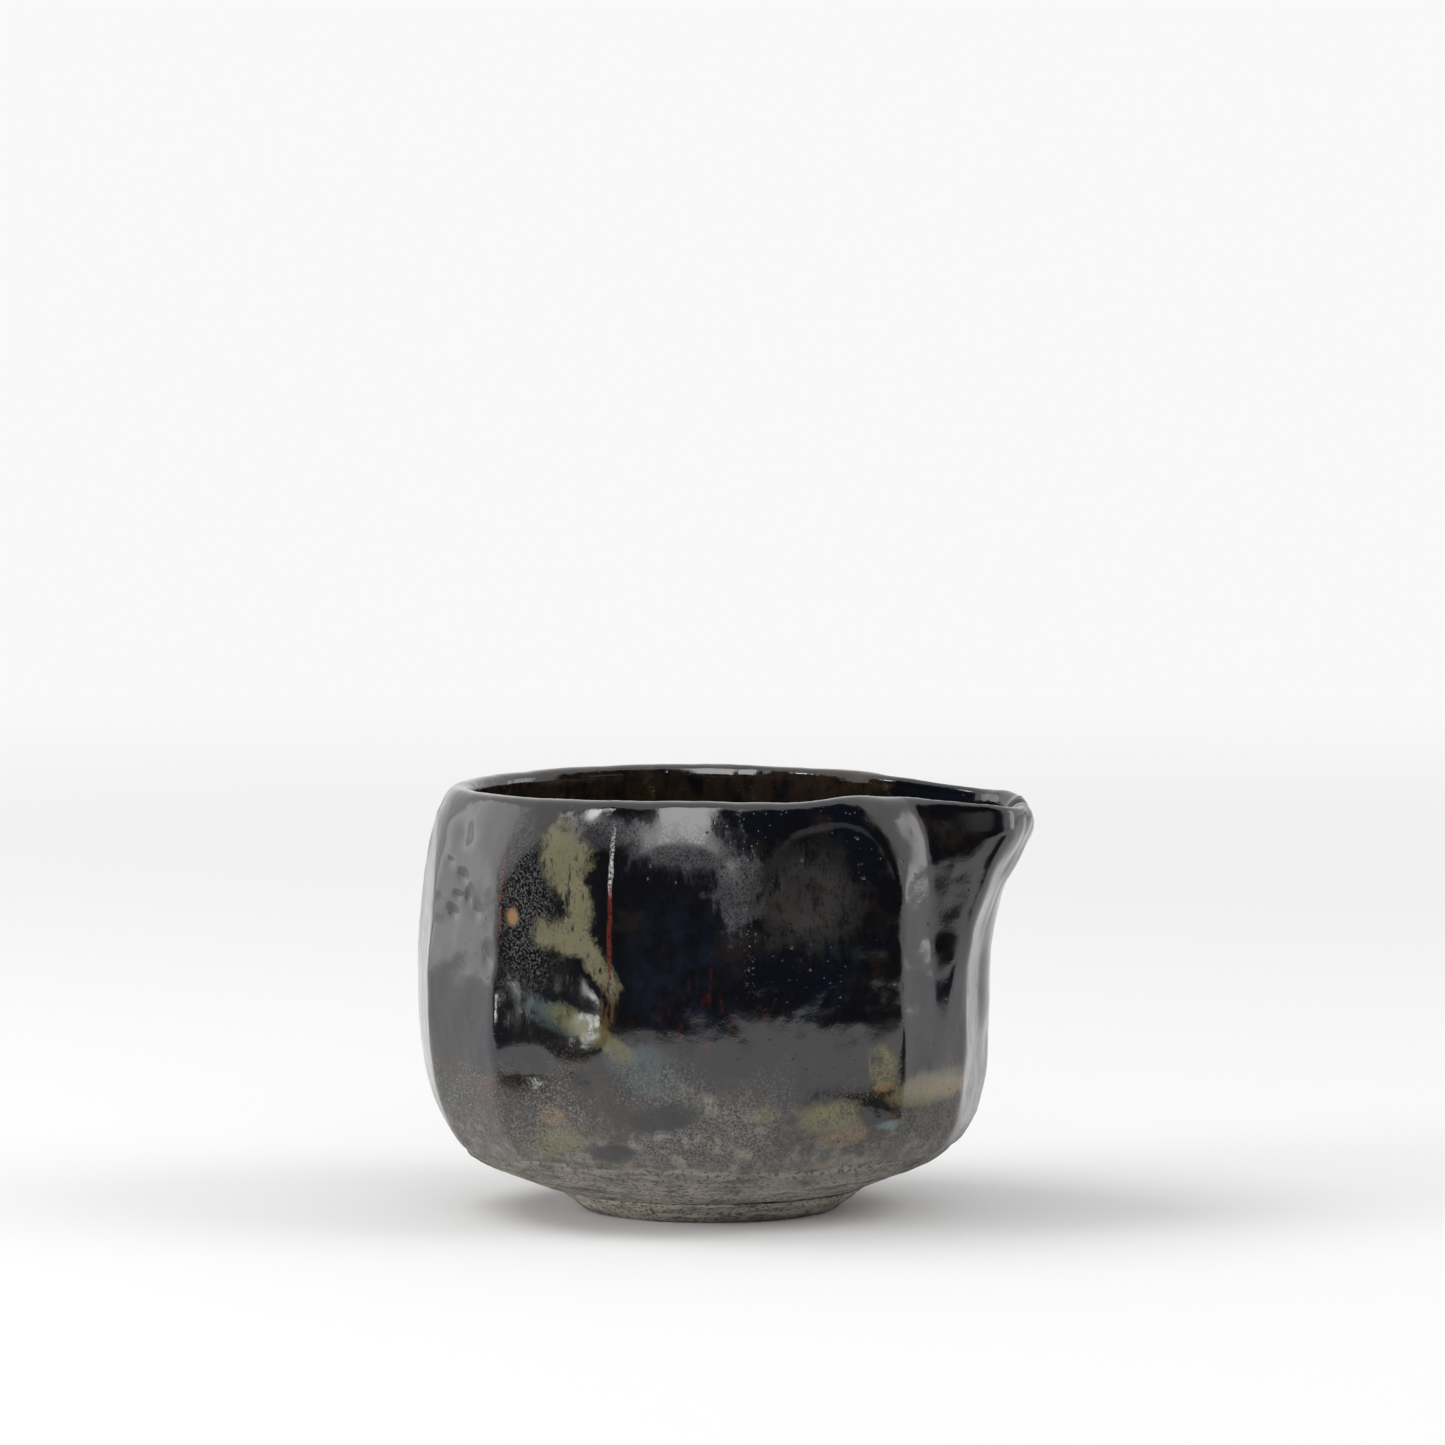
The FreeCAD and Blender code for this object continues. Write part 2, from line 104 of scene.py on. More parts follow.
# ---------------------------------------------------------------- what a user would change
class TEABOWL_PG_form(PropertyGroup):
    coat_voxel: FloatProperty(
        name="Coat voxel", description="Voxel that the glaze coat's skin is rebuilt at",
        default=0.00086, min=0.0004, precision=5, subtype="DISTANCE", unit="LENGTH")
    clay_voxel: FloatProperty(
        name="Clay voxel", description="Voxel that the clay body is rebuilt at",
        default=0.0008, min=0.0004, precision=5, subtype="DISTANCE", unit="LENGTH")
    foot_voxel: FloatProperty(
        name="Foot voxel", description="Voxel that the foot ring is rebuilt at",
        default=0.00045, min=0.0003, precision=5, subtype="DISTANCE", unit="LENGTH")
    coat_thickness: FloatProperty(
        name="Coat thickness", description="How thick the fired glaze lies on the clay",
        default=0.0005, precision=5, subtype="DISTANCE", unit="LENGTH")
    glaze_line: FloatProperty(
        name="Glaze line", description="Height at which the glaze stops above the foot",
        default=0.0112, precision=4, subtype="DISTANCE", unit="LENGTH")
    softening: IntProperty(
        name="Softening", description="How often the rebuilt skin is smoothed", default=5, min=0)
    easing: IntProperty(
        name="Easing", description="How often the pulled spout is smoothed", default=14, min=0)
    unevenness: FloatProperty(
        name="Unevenness", description="How far the hand-cut faces swell and dip",
        default=0.00045, precision=5, subtype="DISTANCE", unit="LENGTH")


class TEABOWL_PG_glaze(PropertyGroup):
    black: FloatVectorProperty(
        name="Black", description="The glaze where it is thick",
        default=(0.0045, 0.0045, 0.0055), min=0, max=1, size=3, subtype="COLOR")
    iron: FloatVectorProperty(
        name="Iron brown", description="The glaze where it is thin over the clay",
        default=(0.030, 0.019, 0.011), min=0, max=1, size=3, subtype="COLOR")
    olive: FloatVectorProperty(
        name="Olive", description="Ash that melted into the glaze",
        default=(0.118, 0.106, 0.042), min=0, max=1, size=3, subtype="COLOR")
    ochre: FloatVectorProperty(
        name="Ochre", description="Warm edge of the ash marks",
        default=(0.165, 0.100, 0.040), min=0, max=1, size=3, subtype="COLOR")
    teal: FloatVectorProperty(
        name="Teal", description="Blue-green smoke on the glaze",
        default=(0.060, 0.085, 0.088), min=0, max=1, size=3, subtype="COLOR")
    navy: FloatVectorProperty(
        name="Navy", description="Deep blue in the thick glaze",
        default=(0.0035, 0.0052, 0.0095), min=0, max=1, size=3, subtype="COLOR")
    rust: FloatVectorProperty(
        name="Rust", description="Iron red that breaks through on the arrises",
        default=(0.115, 0.022, 0.016), min=0, max=1, size=3, subtype="COLOR")
    silver: FloatVectorProperty(
        name="Silver", description="Dry, starved patches low on the bowl",
        default=(0.125, 0.118, 0.106), min=0, max=1, size=3, subtype="COLOR")


class TEABOWL_PG_clay(PropertyGroup):
    body: FloatVectorProperty(
        name="Clay", description="The smoked clay of the foot",
        default=(0.330, 0.305, 0.265), min=0, max=1, size=3, subtype="COLOR")
    soot: FloatVectorProperty(
        name="Soot", description="Smoke in the clay's pores",
        default=(0.060, 0.054, 0.046), min=0, max=1, size=3, subtype="COLOR")
    grit: FloatVectorProperty(
        name="Grit", description="Pale grains in the clay",
        default=(0.42, 0.38, 0.32), min=0, max=1, size=3, subtype="COLOR")
    ember: FloatVectorProperty(
        name="Ember", description="Warm flecks where the clay met the flame",
        default=(0.34, 0.25, 0.17), min=0, max=1, size=3, subtype="COLOR")


class TEABOWL_PG_studio(PropertyGroup):
    backdrop: FloatProperty(
        name="Backdrop", description="How white the backdrop shows", default=0.945, min=0, max=1)
    floor_white: FloatProperty(
        name="Floor", description="How pale the table's paper is", default=0.88, min=0, max=1)
    ambient: FloatProperty(
        name="Ambient", description="Light that the white room sends back", default=0.61, min=0)
    key_power: FloatProperty(
        name="Key", description="Power of the soft lamp on the left, in watts", default=8.6, min=0)
    lens: FloatProperty(
        name="Lens", description="Focal length, in millimetres", default=187.5, min=1)


# ---------------------------------------------------------------- shader maths
class Number:
    """A socket that carries a number; sums on it lay out Math nodes."""

    def __init__(self, bench, socket):
        self.bench, self.socket = bench, socket

    def __add__(self, other):
        return self.bench.math("ADD", self, other)

    __radd__ = __add__

    def __sub__(self, other):
        return self.bench.math("SUBTRACT", self, other)

    def __rsub__(self, other):
        return self.bench.math("SUBTRACT", other, self)

    def __mul__(self, other):
        return self.bench.math("MULTIPLY", self, other)

    __rmul__ = __mul__

    def __truediv__(self, other):
        return self.bench.math("DIVIDE", self, other)


class Bench:
    """Lays out the nodes of one material."""

    def __init__(self, name):
        self.material = bpy.data.materials.new(name)
        self.material.use_nodes = True
        self.tree = self.material.node_tree
        self.tree.nodes.clear()

    def add(self, kind, settings=None, values=None):
        """Adds a node: its settings are set first, then the value or link of each socket."""
        node = self.tree.nodes.new(kind)
        for key, setting in (settings or {}).items():
            if key == "stops":
                ramp = node.color_ramp
                while len(ramp.elements) < len(setting):
                    ramp.elements.new(0.5)
                for element, (place, colour) in zip(ramp.elements, setting):
                    element.position, element.color = place, (*colour, 1.0)
            else:
                setattr(node, key, setting)
        for key, value in (values or {}).items():
            socket = self.find(node.inputs, key)
            if isinstance(value, Number):
                value = value.socket
            if isinstance(value, bpy.types.NodeSocket):
                self.tree.links.new(value, socket)
            elif socket.type == "RGBA" and len(value) == 3:
                socket.default_value = (*value, 1.0)
            else:
                socket.default_value = value
        return node

    @staticmethod
    def find(sockets, key):
        if isinstance(key, int):
            return sockets[key]
        for socket in sockets:
            if socket.identifier == key:
                return socket
        return sockets[key]

    def math(self, operation, *numbers, clamp=False):
        node = self.add("ShaderNodeMath", {"operation": operation, "use_clamp": clamp},
                        dict(enumerate(numbers)))
        return Number(self, node.outputs[0])

    def vector(self, operation, *vectors, **values):
        node = self.add("ShaderNodeVectorMath", {"operation": operation},
                        {**dict(enumerate(vectors)), **values})
        return node.outputs

    def mix(self, factor, under, over):
        """A colour between two, as a factor says."""
        node = self.add("ShaderNodeMix", {"data_type": "RGBA"},
                        {"Factor_Float": factor, "A_Color": under, "B_Color": over})
        return self.find(node.outputs, "Result_Color")

    def step(self, number, low, high, to_low=0.0, to_high=1.0):
        """A soft step between two values."""
        node = self.add("ShaderNodeMapRange", {"interpolation_type": "SMOOTHSTEP"},
                        {"Value": number, "From Min": low, "From Max": high,
                         "To Min": to_low, "To Max": to_high})
        return Number(self, node.outputs[0])

    def place(self):
        """The place on the bowl in millimetres: the vector, and its x, y and z."""
        spot = self.add("ShaderNodeTexCoord").outputs["Object"]
        spot = self.vector("SCALE", spot, Scale=1000.0)[0]
        parts = self.add("ShaderNodeSeparateXYZ", values={0: spot}).outputs
        return spot, *(Number(self, part) for part in parts)

    def noise(self, spot, size, detail=3.0, rough=0.5, stretch=None, seed=(0.0, 0.0, 0.0),
              warp=0.0):
        """Cloudy noise whose lumps are about size millimetres."""
        scale = (1 / size,) * 3 if stretch is None else tuple(s / size for s in stretch)
        spot = self.add("ShaderNodeMapping", {"vector_type": "POINT"},
                        {"Vector": spot, "Location": seed, "Scale": scale}).outputs[0]
        node = self.add("ShaderNodeTexNoise", None,
                        {"Vector": spot, "Scale": 1.0, "Detail": detail, "Roughness": rough,
                         "Distortion": warp})
        return Number(self, node.outputs[0])

    def cells(self, spot, size, seed=(0.0, 0.0, 0.0), random=1.0):
        """Distance to the nearest of scattered points about size millimetres apart."""
        spot = self.add("ShaderNodeMapping", None,
                        {"Vector": spot, "Location": seed, "Scale": (1 / size,) * 3}).outputs[0]
        node = self.add("ShaderNodeTexVoronoi", None,
                        {"Vector": spot, "Scale": 1.0, "Randomness": random})
        return Number(self, node.outputs["Distance"])

    def bump(self, height, depth, under=None):
        values = {"Height": height, "Distance": depth * MM, "Strength": 1.0}
        if under is not None:
            values["Normal"] = under
        return self.add("ShaderNodeBump", None, values).outputs[0]


def glaze_material():
    """Black glaze with melted ash, smoke and starved patches, drying out above the foot."""
    tone = bpy.context.scene.tea_bowl_glaze
    clay = bpy.context.scene.tea_bowl_clay
    b = Bench("ash_marked_glaze")
    spot, x, y, z = b.place()
    from_axis = x - AXIS_X / MM
    turn = b.math("ARCTAN2", y, from_axis) * (180 / math.pi)
    radius = b.math("SQRT", from_axis * from_axis + y * y)
    front = b.step(y, -22.0, -12.0, 1.0, 0.0)
    ragged = b.noise(spot, 5.0, 7.0, 0.68)
    streaky = b.noise(spot, 2.2, 6.0, 0.7, stretch=(1.6, 1.6, 0.5), seed=(3.0, 1.0, 7.0))
    fine = b.noise(spot, 0.42, 4.0, 0.66, seed=(9.0, 2.0, 4.0))
    cloud = b.noise(spot, 18.0, 3.0, 0.5, seed=(1.0, 5.0, 2.0))
    torn = ragged * 0.5 + streaky * 0.3 + fine * 0.2
    speckle = b.step(fine, 0.50, 0.60)
    combed = b.step(streaky, 0.40, 0.56)

    def mark(x0, z0, wide, tall, lean=0.0, tear=4.5, edge=0.30):
        """A torn-edged spot on the front, in millimetres across and up."""
        lean = math.radians(lean)
        dx, dz = x - x0, z - z0
        along = (dx * math.cos(lean) + dz * math.sin(lean)) / wide
        up = (dz * math.cos(lean) - dx * math.sin(lean)) / tall
        far = b.math("SQRT", along * along + up * up) + (torn - 0.5) * tear
        return b.step(far, 1.0 - edge, 1.0 + edge, 1.0, 0.0) * front

    def together(*masks):
        whole = masks[0]
        for mask in masks[1:]:
            whole = whole + mask
        return b.math("MINIMUM", whole, 1.0)

    def arris(place, low, high, wide, broken=0.5, soft=4.0):
        """A thin line up one arris between two heights, broken by the fine noise."""
        off = b.math("ABSOLUTE", turn - place + (streaky - 0.5) * 1.2)
        line = b.step(off, wide * 0.3, wide, 1.0, 0.0)
        reach = b.step(z, low, low + soft) * b.step(z, high - soft, high, 1.0, 0.0)
        return line * reach * b.step(fine, broken - 0.05, broken + 0.05)

    # thick black glaze, blue in its depth and brown where it is thin
    low_belt = b.step(z + (cloud - 0.5) * 12.0, 20.0, 40.0, 1.0, 0.0)
    colour = b.mix(b.step(cloud, 0.48, 0.70), tone.black, tone.navy)
    thin = b.step(b.noise(spot, 7.0, 5.0, 0.6, seed=(2.0, 8.0, 1.0)), 0.54, 0.70)
    colour = b.mix(thin * 0.4, colour, tone.iron)
    blue = mark(-4.5, 50.0, 12.5, 15.0)
    colour = b.mix(blue * b.step(ragged, 0.38, 0.6) * 0.8, colour,
                   tuple(c * 1.8 for c in tone.navy))
    rusty = together(mark(-3.0, 42.0, 11.0, 9.0), mark(14.0, 40.0, 9.0, 6.0) * 0.7)
    colour = b.mix(rusty * b.step(streaky, 0.54, 0.66) * 0.22, colour, tone.rust)

    # smoke and iron in the lower belt
    smoke = low_belt * b.step(torn, 0.42, 0.58)
    colour = b.mix(smoke * 0.75, colour, tone.iron)
    dusty = low_belt * b.step(b.noise(spot, 11.0, 6.0, 0.66, seed=(6.0, 6.0, 0.0)), 0.44, 0.60)
    colour = b.mix(dusty * speckle * 0.75, colour, tone.silver)

    # a brown warmth inside the bowl
    within = b.step(radius, 43.5, 45.5, 1.0, 0.0)
    warm = within * b.step(z, 12.0, 30.0) * b.step(torn, 0.40, 0.56)
    colour = b.mix(warm * 0.7, colour, tuple(c * 1.2 for c in tone.iron))

    # ash that fell on the left front facets
    peppered = mark(-33.0, 60.0, 6.5, 15.0, 0.0, 3.0, 0.6) * b.step(fine, 0.50, 0.62)
    colour = b.mix(peppered * 0.38, colour, tuple(c * 0.75 for c in tone.silver))
    ash = together(mark(-26.0, 69.0, 4.6, 6.0, 0.0), mark(-24.0, 62.5, 2.6, 6.0, 10.0),
                   mark(-27.0, 55.0, 5.0, 3.0, -8.0), mark(-21.0, 51.5, 2.0, 7.0, 32.0))
    ash = ash * b.step(streaky, 0.34, 0.50) * b.step(fine, 0.30, 0.52, 0.45, 1.0)
    colour = b.mix(ash * 0.85, colour, tone.olive)
    drop = mark(-35.8, 58.0, 1.1, 1.4, 0.0, 3.6, 0.55)
    colour = b.mix(drop * 0.75, colour, tuple(c * 1.5 for c in tone.ochre))
    haze = together(mark(-27.5, 40.5, 8.0, 2.6, -22.0), mark(-13.0, 33.0, 6.0, 3.2, -10.0),
                    mark(-10.0, 29.0, 5.0, 3.0, 0.0))
    colour = b.mix(haze * b.step(torn, 0.36, 0.56) * 0.65, colour, tone.teal)
    haze_ash = together(mark(-23.0, 39.0, 8.0, 2.2, -26.0), mark(-16.5, 35.0, 3.5, 1.8, -30.0))
    colour = b.mix(haze_ash * b.step(torn, 0.36, 0.56) * 0.75, colour, tone.olive)
    colour = b.mix(mark(-18.5, 42.0, 1.6, 4.5, 0.0, 3.0) * combed * 0.35, colour, tone.ochre)

    # ash low on the front and round to the spout
    low_ash = together(mark(31.5, 31.0, 2.6, 4.0), mark(22.0, 22.0, 6.5, 3.0, 0.0),
                       mark(38.5, 25.0, 7.0, 2.4, 4.0) * 0.9, mark(9.5, 23.0, 2.5, 1.8),
                       mark(-28.0, 17.0, 6.0, 3.0, 10.0) * 0.8)
    grown = b.step(torn, 0.36, 0.56) * b.step(fine, 0.32, 0.56, 0.4, 1.0)
    colour = b.mix(low_ash * grown, colour, tuple(c * 1.25 for c in tone.olive))
    gold = together(mark(24.5, 18.0, 5.0, 1.5, 8.0), mark(23.0, 11.5, 9.0, 2.2, 4.0),
                    mark(44.0, 25.5, 5.0, 1.6, 6.0) * 0.8, mark(-28.5, 22.0, 2.2, 1.8),
                    mark(31.5, 27.0, 2.2, 1.0))
    colour = b.mix(gold * grown * 0.85, colour, tuple(c * 1.25 for c in tone.ochre))
    pepper_low = together(mark(-29.0, 20.0, 8.5, 6.5, 0.0, 3.0, 0.6),
                          mark(-44.0, 21.0, 8.0, 9.0, 0.0, 3.0, 0.6),
                          mark(40.0, 19.0, 7.0, 5.0, 0.0, 3.0, 0.6),
                          mark(2.0, 18.5, 13.0, 7.5, 0.0, 3.0, 0.6),
                          mark(-10.0, 28.0, 8.0, 5.0, 0.0, 3.0, 0.6))
    colour = b.mix(pepper_low * speckle * 0.75, colour, tone.silver)
    colour = b.mix(mark(32.5, 20.0, 2.6, 0.9, 6.0) * 0.9, colour,
                   tuple(c * 1.6 for c in tone.teal))
    flush = together(mark(-14.0, 12.5, 3.0, 1.6), mark(7.0, 13.5, 2.2, 1.3),
                     mark(-41.0, 26.0, 2.5, 2.5) * 0.6)
    colour = b.mix(flush * combed * 0.35, colour, tone.rust)

    # ash and smoke that drift round the sides, the back and the inside
    away = b.step(y, -24.0, -8.0) * b.step(x, 32.0, 38.0, 1.0, 0.0)
    drift = b.step(b.noise(spot, 13.0, 6.0, 0.66, seed=(11.0, 3.0, 5.0)), 0.55, 0.64)
    colour = b.mix(away * drift * grown * 0.6, colour, tone.olive)
    veil = b.step(b.noise(spot, 16.0, 5.0, 0.64, seed=(4.0, 13.0, 9.0)), 0.55, 0.68)
    colour = b.mix(away * veil * combed * 0.35, colour, tone.teal)

    # starved, silvery glaze low down
    starved = b.step(z + (cloud - 0.5) * 14.0 + (torn - 0.5) * 22.0, 11.0, 24.0, 1.0, 0.0)
    silver = together(starved * 0.85, mark(0.5, 20.5, 12.0, 6.5, 0.0, 3.5, 0.5) * 0.9)
    colour = b.mix(silver * b.step(fine, 0.36, 0.62) * 0.75, colour, tone.silver)
    colour = b.mix(silver * b.step(fine, 0.46, 0.34) * 0.45, colour, tone.black)
    bloom = b.step(b.noise(spot, 3.4, 5.0, 0.7, seed=(2.0, 2.0, 9.0)), 0.46, 0.66)
    colour = b.mix(silver * bloom * 0.70, colour, (0.240, 0.222, 0.180))
    faded = mark(41.0, 26.5, 6.0, 2.4, 5.0, 2.6, 0.6)
    colour = b.mix(faded * 0.65, colour, (0.200, 0.172, 0.115))
    blob = together(mark(-17.5, 15.5, 4.2, 1.9, 0.0, 1.4), mark(-8.0, 22.5, 7.0, 2.4, 10.0, 1.6),
                    mark(29.0, 12.0, 2.2, 0.9, 6.0, 0.6), mark(30.0, 22.5, 3.2, 2.6, 0.0, 1.2))
    colour = b.mix(blob * 0.9, colour, tuple(c * 1.6 for c in tone.black))

    # iron breaking red on the arrises, and painted white glints along them
    red = together(arris(-109.0, 46.0, 67.0, 0.62, 0.42),
                   arris(-134.5, 52.0, 72.0, 0.5, 0.48) * 0.7)
    colour = b.mix(red * 0.85, colour, tone.rust)
    # painted highlight: a pale broken line up the arrises stands in for the lamps' glints
    painted_glint = together(arris(-109.0, 62.0, 76.5, 0.55, 0.48),
                    arris(-81.0, 44.0, 74.0, 1.3, 0.66), arris(-47.0, 30.0, 70.0, 0.5, 0.66) * 0.4)
    colour = b.mix(painted_glint * 0.8, colour, (0.55, 0.53, 0.51))

    # a painted lilac highlight under the rim, on rougher ash-toned glaze, and beside it a brown
    # veil that is partly a painted reflection
    # painted highlight: the glaze is lightened where the front box reflects under the rim
    painted_sheen = together(mark(-4.0, 71.5, 11.0, 4.6, -8.0, 5.0, 0.45),
                     mark(4.5, 64.0, 4.2, 8.0, 12.0, 5.0),
                     mark(-18.5, 74.0, 7.5, 3.0, 0.0, 3.0) * 0.8)
    painted_sheen = painted_sheen * b.step(fine, 0.36, 0.56, 0.35, 1.0)
    colour = b.mix(painted_sheen * 0.55, colour, (0.050, 0.049, 0.056))
    # brown veil of the glaze, lightened in part as a painted reflection of the dim card on the
    # right
    veil_and_reflection = mark(17.5, 62.0, 9.5, 9.0, -20.0, 5.5, 0.4) * b.step(torn, 0.36, 0.52)
    colour = b.mix(veil_and_reflection * 0.6, colour, (0.030, 0.027, 0.024))

    # bare clay below the glaze
    outside = b.step(radius - z * 0.35, 22.0, 26.0)
    dry = b.step(z + (torn - 0.5) * 20.0 + (cloud - 0.5) * 4.0, 8.0, 16.0, 1.0, 0.0) * outside
    bare_clay, bare_clay_rough = clay_colour(b, spot, clay)
    colour = b.mix(dry * 0.85, colour, bare_clay)

    # burst bubbles
    pits = b.step(b.cells(spot, 2.6, (5.0, 1.0, 8.0)), 0.05, 0.13, 1.0, 0.0)
    pits = pits * b.step(b.noise(spot, 9.0, 2.0, 0.5, seed=(0.0, 4.0, 6.0)), 0.50, 0.62)
    pinholes = b.step(b.cells(spot, 1.3, (2.0, 9.0, 3.0)), 0.06, 0.14, 1.0, 0.0)
    pinholes = pinholes * b.step(cloud, 0.52, 0.64)
    colour = b.mix(pits * 0.8, colour, tuple(c * 0.4 for c in tone.black))

    rough = (0.075 + b.step(ragged, 0.46, 0.66) * 0.07 + ash * 0.30 + haze * combed * 0.14
             + peppered * 0.08 + low_ash * 0.16 + silver * 0.26 + smoke * 0.10
             + pepper_low * 0.16 + painted_sheen * 0.26 + veil_and_reflection * 0.20 - blob * 0.15)
    rough = b.math("MAXIMUM", b.math("MINIMUM", rough, 0.55), 0.06)
    rough = rough * (1.0 - dry) + bare_clay_rough * dry

    grain = fine * (0.04 + silver * 0.50 + pepper_low * 0.35 + peppered * 0.12 + dry * 0.9)
    height = (b.noise(spot, 2.0, 3.0, 0.5, seed=(7.0, 7.0, 7.0)) * (0.10 + low_belt * 0.22)
              + streaky * (0.06 + low_belt * 0.20 + ash * 0.35) + grain
              - pits * 0.7 - pinholes * 0.25 + painted_glint * 0.3)
    normal = b.bump(height, 0.22)
    shader = b.add("ShaderNodeBsdfPrincipled", None,
                   {"Base Color": colour, "Roughness": rough, "Normal": normal, "IOR": 1.7})
    b.add("ShaderNodeOutputMaterial", None, {"Surface": shader.outputs[0]})
    return b.material


def clay_colour(b, spot, clay):
    """Smoked, granular clay: its colour and roughness."""
    grains = b.cells(spot, 0.75, (1.0, 2.0, 3.0))
    turned = b.noise(spot, 2.2, 4.0, 0.6, stretch=(0.25, 0.25, 2.4), seed=(8.0, 0.0, 1.0))
    smoke = b.noise(spot, 8.0, 5.0, 0.6, seed=(5.0, 5.0, 5.0))
    colour = b.mix(b.step(smoke, 0.35, 0.7), clay.body, clay.soot)
    colour = b.mix(b.step(turned, 0.42, 0.62) * 0.6, colour, tuple(c * 1.6 for c in clay.body))
    ember = b.step(b.noise(spot, 4.5, 5.0, 0.65, seed=(0.5, 7.0, 3.0)), 0.58, 0.72)
    colour = b.mix(ember * 0.7, colour, clay.ember)
    pore = b.step(b.noise(spot, 0.8, 3.0, 0.6, seed=(4.0, 2.0, 9.0)), 0.38, 0.5, 1.0, 0.0)
    colour = b.mix(pore * 0.85, colour, clay.soot)
    pale = b.step(grains, 0.05, 0.17, 1.0, 0.0) * b.step(smoke, 0.35, 0.6)
    colour = b.mix(pale * 0.8, colour, clay.grit)
    height = Number(b, b.add("ShaderNodeSeparateXYZ", values={0: spot}).outputs[2])
    # darker from about 9 mm up, and towards the very bottom edge, mixed towards the soot colour
    darker_high_and_low = (b.step(height + (turned - 0.5) * 3.0, 7.5, 10.5) * 0.55
              + b.step(height, 0.4, 1.6, 0.6, 0.0))
    colour = b.mix(darker_high_and_low, colour, clay.soot)
    return colour, 0.72 - pale * 0.3


def clay_material():
    """Bare clay with soot in its pores, pale grit and the marks of the wheel."""
    clay = bpy.context.scene.tea_bowl_clay
    b = Bench("smoked_clay")
    spot, x, y, z = b.place()
    colour, rough = clay_colour(b, spot, clay)
    grain = b.noise(spot, 0.55, 4.0, 0.65, seed=(3.0, 3.0, 3.0))
    turned = b.noise(spot, 1.3, 3.0, 0.6, stretch=(0.22, 0.22, 2.6), seed=(6.0, 1.0, 2.0))
    normal = b.bump(grain * 0.7 + turned * 0.9, 0.35)
    shader = b.add("ShaderNodeBsdfPrincipled", None,
                   {"Base Color": colour, "Roughness": rough, "Normal": normal, "IOR": 1.5})
    b.add("ShaderNodeOutputMaterial", None, {"Surface": shader.outputs[0]})
    return b.material


# ---------------------------------------------------------------- modelling helpers
def set_down():
    """Leaves nothing selected and nothing in edit mode."""
    if bpy.context.object and bpy.context.object.mode != "OBJECT":
        bpy.ops.object.mode_set(mode="OBJECT")
    bpy.ops.object.select_all(action="DESELECT")


def copy_of(names, title):
    """Copies the model's own solids into one new piece, with their loose triangles merged."""
    set_down()
    for name in names:
        frame["nodes"][name].select_set(True)
    bpy.context.view_layer.objects.active = frame["nodes"][names[0]]
    bpy.ops.object.duplicate()
    if len(names) > 1:
        bpy.ops.object.join()
    piece = bpy.context.view_layer.objects.active
    bpy.ops.object.parent_clear(type="CLEAR_KEEP_TRANSFORM")
    for key in list(piece.keys()):
        del piece[key]
    piece.name = piece.data.name = title
    piece.data.materials.clear()
    bpy.ops.object.mode_set(mode="EDIT")
    bpy.ops.mesh.select_all(action="SELECT")
    bpy.ops.mesh.remove_doubles(threshold=1e-6)
    bpy.ops.object.mode_set(mode="OBJECT")
    return piece


def work(piece, kind, **settings):
    """Adds a modifier to the piece in hand, sets it and applies it."""
    bpy.context.view_layer.objects.active = piece
    piece.select_set(True)
    bpy.ops.object.modifier_add(type=kind)
    modifier = piece.modifiers[-1]
    for key, value in settings.items():
        setattr(modifier, key, value)
    bpy.ops.object.modifier_apply(modifier=modifier.name)


def delete_faces(piece, unwanted):
    """Deletes the faces of the piece in hand that a test picks out."""
    bpy.ops.object.mode_set(mode="EDIT")
    bpy.ops.mesh.select_mode(type="FACE")
    bpy.ops.mesh.select_all(action="DESELECT")
    bpy.ops.object.mode_set(mode="OBJECT")
    for face in piece.data.polygons:
        face.select = unwanted(face)
    bpy.ops.object.mode_set(mode="EDIT")
    bpy.ops.mesh.delete(type="FACE")
    bpy.ops.object.mode_set(mode="OBJECT")


def clouds(title, size, depth=2):
    """A soft cloud texture for Displace, its lumps about size metres."""
    texture = bpy.data.textures.new(title, "CLOUDS")
    texture.noise_scale, texture.noise_depth = size, depth
    return texture


def swell(piece, title, size, height, depth=2, group=""):
    work(piece, "DISPLACE", texture=clouds(title, size, depth), texture_coords="LOCAL",
         strength=height * 2, mid_level=0.5, vertex_group=group)


def points(piece):
    flat = np.empty(len(piece.data.vertices) * 3)
    piece.data.vertices.foreach_get("co", flat)
    return flat.reshape(-1, 3)


def set_points(piece, spots):
    piece.data.vertices.foreach_set("co", spots.ravel())
    piece.data.update()


